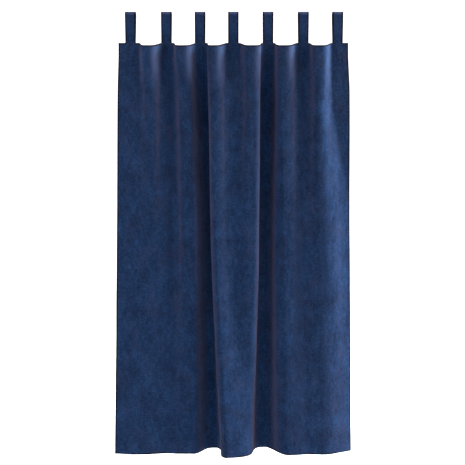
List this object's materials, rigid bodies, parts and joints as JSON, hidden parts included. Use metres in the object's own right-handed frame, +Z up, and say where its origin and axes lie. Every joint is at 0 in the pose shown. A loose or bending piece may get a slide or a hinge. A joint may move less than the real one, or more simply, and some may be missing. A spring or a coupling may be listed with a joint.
{
  "type": "tab-top velvet curtain",
  "caption": "Plain velvet curtain panel hung by cloth tabs, with deep soft folds, turned hems and an uneven foot.",
  "frame": {"origin": "on the axis of the rod that the tabs hang over, at the middle tab", "axes": "+X along the rod to the right as seen from the front, front faces -Y, +Z up"},
  "size_m": [1.1473, 0.1288, 2.134],
  "materials": {
    "panel_velvet": "short-pile navy velvet with a soft sheen and cloudy nap, matt woven back",
    "tab_velvet": "the same navy velvet, sewn double",
    "thread": "matching navy sewing thread"
  },
  "bodies": {
    "root": {"panel": "panel_velvet", "tab_1": "tab_velvet", "tab_2": "tab_velvet", "tab_3": "tab_velvet", "tab_4": "tab_velvet", "tab_5": "tab_velvet", "tab_6": "tab_velvet", "tab_7": "tab_velvet"}
  },
  "joints": []
}
